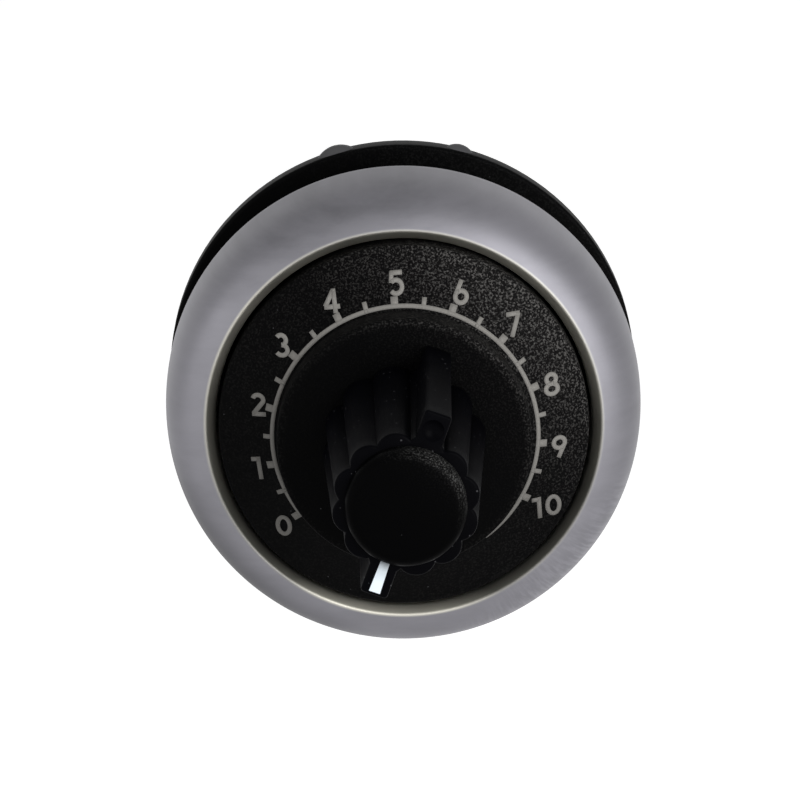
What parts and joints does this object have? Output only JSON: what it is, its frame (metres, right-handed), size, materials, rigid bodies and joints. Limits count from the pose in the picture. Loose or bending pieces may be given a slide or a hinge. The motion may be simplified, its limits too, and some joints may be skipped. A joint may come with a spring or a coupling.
{
  "type": "rotary potentiometer",
  "caption": "Panel-mounted rotary potentiometer with a domed metal bezel, a numbered black dial and a fluted pointer knob, held from behind by a ring nut.",
  "frame": {"origin": "on the turning axis, in the plane of the panel's front face, where the seal bears on it", "axes": "+Y along the turning axis towards the back of the panel, so the front looks towards -Y; +Z towards the mark 5 at the top of the dial"},
  "size_m": [0.03, 0.0533, 0.0302],
  "materials": {
    "bezel_metal": "satin",
    "dial_black": "fine grain",
    "print_grey": "matt print",
    "moulded_black": "matt",
    "black_rubber": "matt",
    "brass": "turned",
    "steel": "plated",
    "shaft_steel": "ground",
    "spring_steel": "oiled",
    "silvered": "plated",
    "spring_bronze": "bright",
    "laminate": "matt",
    "carbon": "matt",
    "carrier_white": "matt",
    "knob_black": "low gloss",
    "cap_black": "low gloss",
    "line_white": "matt"
  },
  "bodies": {
    "head": {"bezel": "bezel_metal", "dial_plate": "dial_black", "scale_print": "print_grey", "head_body": "moulded_black", "panel_seal": "black_rubber", "ring_nut": "moulded_black", "bushing": "brass", "bushing_nut": "steel", "lock_washer": "steel", "shaft_seal": "black_rubber", "element_case": "steel", "resistance_disc": "laminate", "resistance_track": "carbon", "collector_ring": "silvered", "terminal_rivets": "brass", "lead_start": "brass", "lead_wiper": "brass", "lead_end": "brass", "terminal_block": "moulded_black", "terminal_inserts": "brass", "clamp_plates": "steel", "terminal_screws": "steel"},
    "rotor": {"shaft": "shaft_steel", "retaining_clip": "spring_steel", "wiper_carrier": "carrier_white", "wiper": "spring_bronze", "knob_body": "knob_black", "collet": "brass", "collet_nut": "brass", "knob_cap": "cap_black", "pointer_line": "line_white"}
  },
  "joints": [
    {"name": "knob_turn", "type": "hinge", "parent": "head", "child": "rotor", "pos_m": [0, 0, 0], "axis": [0, 1, 0], "range_deg": [0, 300]}
  ]
}
